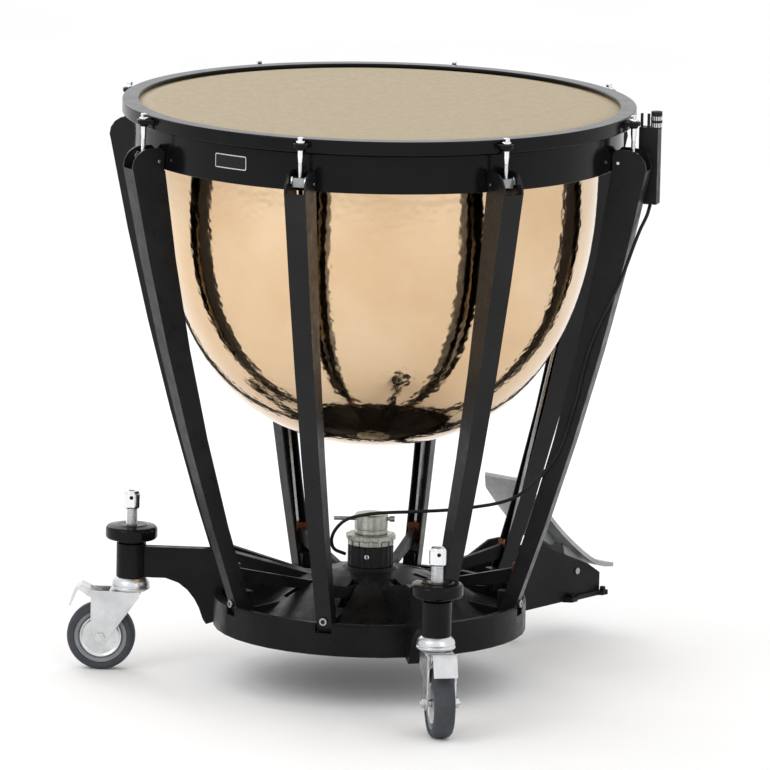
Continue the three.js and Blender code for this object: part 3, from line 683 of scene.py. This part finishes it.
# ---- head, counterhoop, collar ---------------------------------------------------------------
def make_head():
    top = [
        (HOOP_INNER + 8, FLESH_BOTTOM),
        (HOOP_INNER + 16, FLESH_BOTTOM),
        (HOOP_INNER + 16, FLESH_TOP),
        (HOOP_INNER - 2, FLESH_TOP),
    ]
    slope = [
        (HOOP_INNER - 6, HEAD_TOP - 3.1),
        (LIP_RADIUS + 6, HEAD_TOP - 0.9),
        (LIP_RADIUS + 1.5, HEAD_TOP - 0.1),
    ]
    crown = [(radius, HEAD_TOP) for radius in (322, 300, 260, 200, 140, 80, 30, 0)]
    under = [(0, HEAD_TOP - 1), (LIP_RADIUS + 1, HEAD_TOP - 1), (HOOP_INNER + 8, FLESH_TOP - 1.9)]
    shape = Shape().lathe(soften(top, 0.8) + slope + crown + under, 192, closed=True)
    head = piece("head_film", shape, FILM, "frame", ["drum_head"], sharp=50)
    head.parent = None
    head.matrix_world = Matrix.Identity(4)
    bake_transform(head)


make_head()


def make_hoop():
    section = soften(
        [
            (HOOP_INNER, HOOP_TOP - 6),
            (HOOP_OUTER - 6, HOOP_TOP - 6),
            (HOOP_OUTER - 6, HOOP_TOP - HOOP_DEPTH),
            (HOOP_OUTER, HOOP_TOP - HOOP_DEPTH),
            (HOOP_OUTER, HOOP_TOP),
            (HOOP_INNER, HOOP_TOP),
        ],
        2.2,
        4,
        closed=True,
    )
    shape = Shape().lathe(section, 256, closed=True)
    even_normals(piece("hoop_ring", shape, GLOSS, "hoop", ["counterhoop"], sharp=50))
    ears = Shape()
    outline = [(HOOP_OUTER - 3, -14)]
    outline += arc(ROD_CIRCLE - 2, 0, 11.5, -75, 75, 12)
    outline += [(HOOP_OUTER - 3, 14)]
    for i in range(STATIONS):
        ears.prism(outline, LUG_TOP - 6.5, LUG_TOP, turn(station_angle(i)))
        ears.lathe([(0, LUG_BOTTOM), (6, LUG_BOTTOM), (6.8, LUG_TOP - 6), (0, LUG_TOP - 6)], 24,
                   turn(station_angle(i)) @ shift(ROD_CIRCLE, 0, 0))
    piece("hoop_lugs", ears, GLOSS, "hoop", rounding=1.4)


make_hoop()


def make_collar():
    section = soften(
        [
            (322, COLLAR_BOTTOM),
            (COLLAR_OUTER, COLLAR_BOTTOM),
            (COLLAR_OUTER, COLLAR_TOP),
            (COLLAR_OUTER - 8, COLLAR_TOP),
            (COLLAR_OUTER - 8, COLLAR_BOTTOM + 6),
            (322, COLLAR_BOTTOM + 6),
        ],
        1.6,
        3,
        closed=True,
    )
    shape = Shape().lathe(section, 256, closed=True)
    even_normals(piece("collar_band", shape, GLOSS, "frame", ["collar_ring"], sharp=50))


make_collar()


def plaque(half_width, half_height, low, high, corner):
    """A plate with rounded corners, bent to lie on the collar band."""
    rounded = -half_width + corner * np.array([0, 0.1, 0.3, 0.6])
    across = np.concatenate([rounded, np.linspace(corner - half_width, 0, 6)])
    across = np.concatenate([across, -across[-2::-1]])
    shape = Shape()
    verts, faces = [], []
    for s in across:
        cut = max(0.0, abs(s) - (half_width - corner))
        tall = half_height - corner + math.sqrt(max(0.0, corner**2 - cut**2))
        angle = s / COLLAR_OUTER
        for radius, height in ((low, -tall), (high, -tall), (high, tall), (low, tall)):
            reach = (COLLAR_OUTER + radius) * MM
            verts.append((reach * math.cos(angle), reach * math.sin(angle), height * MM))
    for i in range(len(across) - 1):
        a, b = 4 * i, 4 * i + 4
        for j in range(4):
            k = (j + 1) % 4
            faces.append([a + j, b + j, b + k, a + k])
    last = len(verts) - 4
    faces += [[0, 1, 2, 3], [last + 3, last + 2, last + 1, last]]
    return shape.add(verts, faces, turn(PLAQUE_ANGLE) @ shift(0, 0, PLAQUE_Z))


piece("plaque_rim", plaque(27, 10, 0.1, 1.5, 2.5), PLAQUE, "frame")
piece("plaque_field", plaque(25.6, 8.6, 1.4, 1.9, 1.6), ENAMEL, "frame")


# ---- tuning rods -----------------------------------------------------------------------------
def thread(root, crest, low, high, pitch):
    """Outline of a threaded stretch: ridges a pitch apart."""
    points = []
    for i in range(int((high - low) / pitch)):
        z = low + i * pitch
        points += [(root, z), (crest, z + 0.35 * pitch), (crest, z + 0.5 * pitch), (root, z + 0.85 * pitch)]
    return points


ROD_THREAD_TOP = 812


def make_tuning_rod(index):
    place = turn(station_angle(index)) @ shift(ROD_CIRCLE, 0, 0)
    shank = [(0, NUT_Z - 4)] + thread(2.7, 3.3, NUT_Z - 3.5, ROD_THREAD_TOP, 1.5)
    shank += [(3.0, ROD_THREAD_TOP + 1), (4.0, ROD_THREAD_TOP + 10), (4.0, LUG_TOP + 1), (0, LUG_TOP + 1)]
    low, shoulder, high = LUG_TOP + 0.4, LUG_TOP + 2.4, LUG_TOP + 3.2
    washer = soften([(0, low), (6.4, low), (6.4, shoulder), (4.8, high), (0, high)], 0.6)
    shape = Shape().lathe(shank, 24, place).lathe(washer, 32, place)
    number = index + 1
    body = f"rod_{number}"
    piece(f"tuning_rod_{number}", shape, CHROME, body, [f"tension_rod_{number}"])
    square = Shape().box(-3.5, 3.5, -3.5, 3.5, LUG_TOP + 2.8, LUG_TOP + 8.5, place)
    piece(f"rod_square_{number}", square, CHROME, body, rounding=0.8)


for station in range(STATIONS):
    make_tuning_rod(station)


# ---- struts and linkage: CAD nodes with rounded edges ----------------------------------------
for station in range(1, STATIONS + 1):
    dress(f"strut_{station}", ENAMEL, 2.4)
    dress(f"rocker_{station}", CHROME, 0.5)
    dress(f"pull_rod_{station}", LINKAGE, 0.7)
dress("base_casting", BASE_ENAMEL, 1.4)
dress("spider", BASE_ENAMEL, 1.2)
dress("pedal_housing", BASE_ENAMEL, 1.6)
dress("hub_crank", STEEL, 0.6)
dress("draw_rod", STEEL, 0.5)
dress("footplate", CAST, 1.6)
dress("balance_spring", STEEL, 0.2)
dress("gauge_body", PLASTIC, 1.6)
dress("gauge_pointer", STEEL, 0.3)
for side in ("left", "right"):
    dress(f"caster_fork_{side}", ZINC, 0.9)
    dress(f"caster_brake_{side}", ZINC, 0.7)


def socket_screw(radius, height, place):
    """Round head with a hexagon socket, standing along +z of its place."""
    return Shape().lathe(
        soften([(0, 0), (radius, 0), (radius, height), (radius * 0.56, height)], radius * 0.15)
        + [(radius * 0.5, height * 0.35), (0, height * 0.35)],
        24,
        place,
    )


FOOT_SCREW_Z = 128
OUTWARD = Matrix.Rotation(math.radians(90), 4, "Y")  # lays +z of a part along its +x


def strut_foot_screws():
    shape = Shape()
    for i in range(STATIONS):
        place = turn(station_angle(i)) @ shift(strut_outer(FOOT_SCREW_Z) + 1, 0, FOOT_SCREW_Z) @ OUTWARD
        part = socket_screw(5.7, 3.6, place)
        shape.add([tuple(v) for v in part.verts], part.faces)
    piece("strut_foot_screws", shape, NICKEL, "frame")


strut_foot_screws()


# ---- hub -------------------------------------------------------------------------------------
HUB_RADIUS, HUB_BOTTOM, HUB_TOP = 33, 168, 198
BORE = 8.6  # the adjusting screw's hole through housing and lock ring
LOCK_SHOULDER, LOCK_TOP = 206, 214
LOCK_TEETH = 14
KNOB_RADIUS, KNOB_TOP = 24, 243
CROSS_BAR_ANGLE, CROSS_BAR_Z = 130, 235


def lobes(radius, depth, count, sharpness=1.0, steps=8):
    """Outline with that many rounded flutes."""
    points = []
    for i in range(count * steps):
        angle = 2 * math.pi * i / (count * steps)
        wave = (0.5 - 0.5 * math.cos(angle * count)) ** sharpness
        points.append(((radius - depth * wave) * math.cos(angle), (radius - depth * wave) * math.sin(angle)))
    return points


def make_hub_cup():
    housing = Shape().prism(lobes(HUB_RADIUS, 1.8, 20, 3), HUB_BOTTOM, HUB_TOP - 1)
    lid = [(0, HUB_TOP - 1.2), (31, HUB_TOP - 1.2), (31, HUB_TOP), (BORE, HUB_TOP)]
    housing.lathe(soften(lid, 0.5), 64)
    piece("hub_cup", housing, ENAMEL, "frame", ["hub_housing"], rounding=0.5)
    screw = socket_screw(3.4, 1.6, turn(-150) @ shift(HUB_RADIUS - 1, 0, 184) @ OUTWARD)
    piece("hub_set_screw", screw, CHROME, "frame")


def make_lock_ring():
    low = HUB_TOP + 0.3
    web = [(BORE, low), (31, low), (31, LOCK_SHOULDER), (BORE, LOCK_SHOULDER)]
    ring = Shape().lathe(soften(web, 0.6, closed=True), 64, closed=True)
    for i in range(LOCK_TEETH):
        place = turn(360 / LOCK_TEETH * i)
        ring.box(30, 33, -4.6, 4.6, HUB_TOP + 0.8, LOCK_SHOULDER - 0.5, place)
    ring.prism(lobes(36, 2.2, 12, 2.2), LOCK_SHOULDER + 0.5, LOCK_TOP - 1)
    flange = [
        (BORE, LOCK_SHOULDER - 0.4),
        (32, LOCK_SHOULDER - 0.4),
        (33, LOCK_SHOULDER + 0.4),
        (33, LOCK_TOP - 0.8),
        (31, LOCK_TOP),
        (BORE, LOCK_TOP),
    ]
    ring.lathe(soften(flange, 0.7, closed=True), 64, closed=True)
    piece("lock_ring_nickel", ring, NICKEL, "lock_ring", ["lock_ring"], rounding=0.4)


def make_knob():
    low = LOCK_TOP + 0.3
    groove = LOCK_TOP + 5
    outline = [
        (0, HUB_TOP - 3),
        (8, HUB_TOP - 3),
        (8, low),
        (KNOB_RADIUS, low),
        (KNOB_RADIUS, groove),
        (KNOB_RADIUS - 1, groove + 0.6),
        (KNOB_RADIUS - 1, groove + 2),
        (KNOB_RADIUS, groove + 2.6),
        (KNOB_RADIUS, KNOB_TOP - 2),
        (KNOB_RADIUS - 2, KNOB_TOP),
        (6, KNOB_TOP),
        (5, KNOB_TOP - 1.5),
        (0, KNOB_TOP - 1.5),
    ]
    knob = Shape().lathe(soften(outline, 0.6), 64)
    across = turn(CROSS_BAR_ANGLE) @ shift(0, 0, CROSS_BAR_Z) @ OUTWARD
    knob.lathe(soften([(0, -31), (2.8, -31), (2.8, 54), (0, 54)], 0.8), 20, across)
    knob.lathe(soften([(0, -34), (4.3, -34), (4.3, -26.5), (0, -26.5)], 1.0), 20, across)
    piece("tuning_knob_nickel", knob, NICKEL, "knob", ["adjusting_knob"])


make_hub_cup()
make_lock_ring()
make_knob()


# ---- gauge knob ------------------------------------------------------------------------------
def make_gauge_knob():
    """Two knurled chrome bands on a black knob."""
    place = turn(GAUGE_STATION) @ shift(401.5, 34, GAUGE_TOP)
    knob = Shape().prism(lobes(8.4, 0.7, 18, 1.0, 6), 0.5, 7, place)
    knob.prism(lobes(8.4, 0.7, 18, 1.0, 6), 10.5, 16.5, place)
    piece("gauge_knob_chrome", knob, CHROME, "frame", rounding=0.4)
    bands = Shape().lathe(soften([(0, 16.3), (7.2, 16.3), (7.2, 22.4), (6.2, 23), (0, 23)], 0.5), 40, place)
    bands.lathe([(0, 6.8), (8.2, 6.8), (8.2, 10.7), (0, 10.7)], 40, place)
    piece("gauge_knob_black", bands, PLASTIC, "frame")


make_gauge_knob()


# ---- rear foot -------------------------------------------------------------------------------
FOOT_CIRCLE, FOOT_ASIDE = 340, 20  # beside the draw rod


def make_rear_foot():
    place = shift(FOOT_CIRCLE, FOOT_ASIDE, 0)
    shape = Shape().lathe(
        [(0, 14)] + thread(4.9, 5.6, 14.5, 55.5, 1.8) + [(4, 55.7), (4, 65), (0, 65)], 28, place
    )
    piece("rear_foot_stud", shape, ZINC, "frame", ["rear_foot"])
    tip = Shape().lathe(soften([(0, 0), (6.8, 0), (7.2, 3), (7.2, 13), (6, 15), (0, 15)], 1.0), 36, place)
    piece("rear_foot_tip", tip, FOOT_RUBBER, "frame")


make_rear_foot()


# ---- casters ---------------------------------------------------------------------------------
def caster_place(post_angle, trail_angle):
    angle = math.radians(post_angle)
    return shift(POST_CIRCLE * math.cos(angle), POST_CIRCLE * math.sin(angle), 0) @ turn(trail_angle)


def make_caster_wheel(side, axle):
    body = f"wheel_{side}"
    tread = [(38.5, -15), (44.6, -15), (47.6, -12.5), (49.1, -9), (WHEEL_RADIUS, -4), (WHEEL_RADIUS, 4)]
    tread += [(49.1, 9), (47.6, 12.5), (44.6, 15), (38.5, 15)]
    tyre = Shape().lathe(soften(tread, 1.2, closed=True), 128, axle, closed=True)
    piece(f"tyre_{side}", tyre, TYRE, body, [f"caster_wheel_{side}"])
    core_profile = [(5.4, -12), (12, -12), (13, -10), (31, -9), (33, -12.5), (38.2, -13.5)]
    core_profile += [(38.2, 13.5), (33, 12.5), (31, 9), (13, 10), (12, 12), (5.4, 12)]
    core = Shape().lathe(soften(core_profile, 0.8, closed=True), 96, axle, closed=True)
    piece(f"wheel_core_{side}", core, WHEEL_CORE, body)
    disc = [(7, 12.3), (26, 11.2), (28.8, 12.8), (30.3, 12.8), (30.3, 9.2), (7, 10.4)]
    disc = soften(disc, 0.7, closed=True)
    cover = Shape()
    cover.lathe(disc, 80, axle, closed=True)
    cover.lathe([(r, -z) for r, z in disc][::-1], 80, axle, closed=True)
    piece(f"wheel_cover_{side}", cover, ZINC, body)


def make_caster_fork(side, place, axle):
    """Axle nuts and swivel race; the fork's plates are the CAD node itself."""
    nuts = Shape()
    for sign in (1, -1):
        low, high = sorted((sign * 20.5, sign * 26.5))
        nuts.prism(arc(0, 0, 8, 0, 300, 5), low, high, axle)
        low, high = sorted((sign * 26, sign * 29))
        nuts.prism(arc(0, 0, 4.2, 0, 345, 23), low, high, axle)
    piece(f"axle_nuts_{side}", nuts, ZINC, f"fork_{side}", rounding=0.7)
    race = [
        (0, 117),
        (23, 117),
        (27.5, 120),
        (28.5, 122.5),
        (26, 124.5),
        (27.5, 126),
        (26.5, 130),
        (22, 134),
        (17, 137.4),
        (0, 137.4),
    ]
    ring = Shape().lathe(soften(race, 1.0), 80, place)
    piece(f"swivel_race_{side}", ring, ZINC, f"fork_{side}")


def make_levelling_screw(side, place):
    body = f"screw_{side}"
    shank = [(0, 138.5)] + thread(7.6, 8.6, 139, 239, 2.5) + [(8, 239.5), (0, 239.5)]
    screw = Shape().lathe(shank, 40, place)
    piece(f"screw_thread_{side}", screw, ZINC, body, [f"levelling_screw_{side}"])
    cap = soften([(0, 238), (10.6, 238), (12.4, 240.5), (12.4, 260), (10.4, 264), (5, 264)], 1.0)
    cap += [(5, 258), (0, 258)]
    top = Shape().lathe(cap, 8, place @ turn(22.5))
    piece(f"screw_cap_{side}", top, CHROME, body, rounding=0.7)
    # Black plastic discs, just proud of the solid cap's four flats, stand in for cross holes: painted shade
    # for the holes' dark insides, as the cap itself is not bored.
    painted_hole_shade = Shape()
    for quarter in range(4):
        level = place @ turn(90 * quarter) @ shift(0, 0, 255) @ OUTWARD
        painted_hole_shade.lathe([(0, 8), (2.9, 8), (2.9, 11.5), (0, 11.5)], 20, level)
    piece(f"screw_bores_{side}", painted_hole_shade, PLASTIC, body)


def make_handwheel(side, place):
    section = [
        (9, POST_TOP + 0.3),
        (19, POST_TOP + 0.3),
        (21, POST_TOP + 6),
        (35.5, POST_TOP + 7),
        (37.6, POST_TOP + 10),
        (37.6, POST_TOP + 22),
        (35, POST_TOP + 25.6),
        (24, POST_TOP + 26.6),
        (22, POST_TOP + 28),
        (9, POST_TOP + 28),
    ]
    wheel = Shape().lathe(soften(section, 1.3, closed=True), 96, place, closed=True)
    body = f"handwheel_{side}"
    piece(f"handwheel_{side}", wheel, GLOSS, body, [f"lock_handwheel_{side}"])


def make_caster(side, place):
    axle = place @ shift(TRAIL, 0, WHEEL_RADIUS) @ Matrix.Rotation(math.radians(90), 4, "X")
    make_caster_wheel(side, axle)
    make_caster_fork(side, place, axle)
    make_levelling_screw(side, place)
    make_handwheel(side, place)


for side, post_angle, trail_angle in (("left", POST_ANGLE, 126), ("right", -POST_ANGLE, -131)):
    make_caster(side, caster_place(post_angle, trail_angle))


# ---- floor -----------------------------------------------------------------------------------
def make_floor():
    half = 40
    corners = [(-half, -half, 0), (half, -half, 0), (half, half, 0), (-half, half, 0)]
    mesh = bpy.data.meshes.new("floor")
    mesh.from_pydata(corners, [], [(0, 1, 2, 3)])
    mesh.materials.append(FLOOR)
    floor = bpy.data.objects.new("floor", mesh)
    COLLECTION.objects.link(floor)


make_floor()
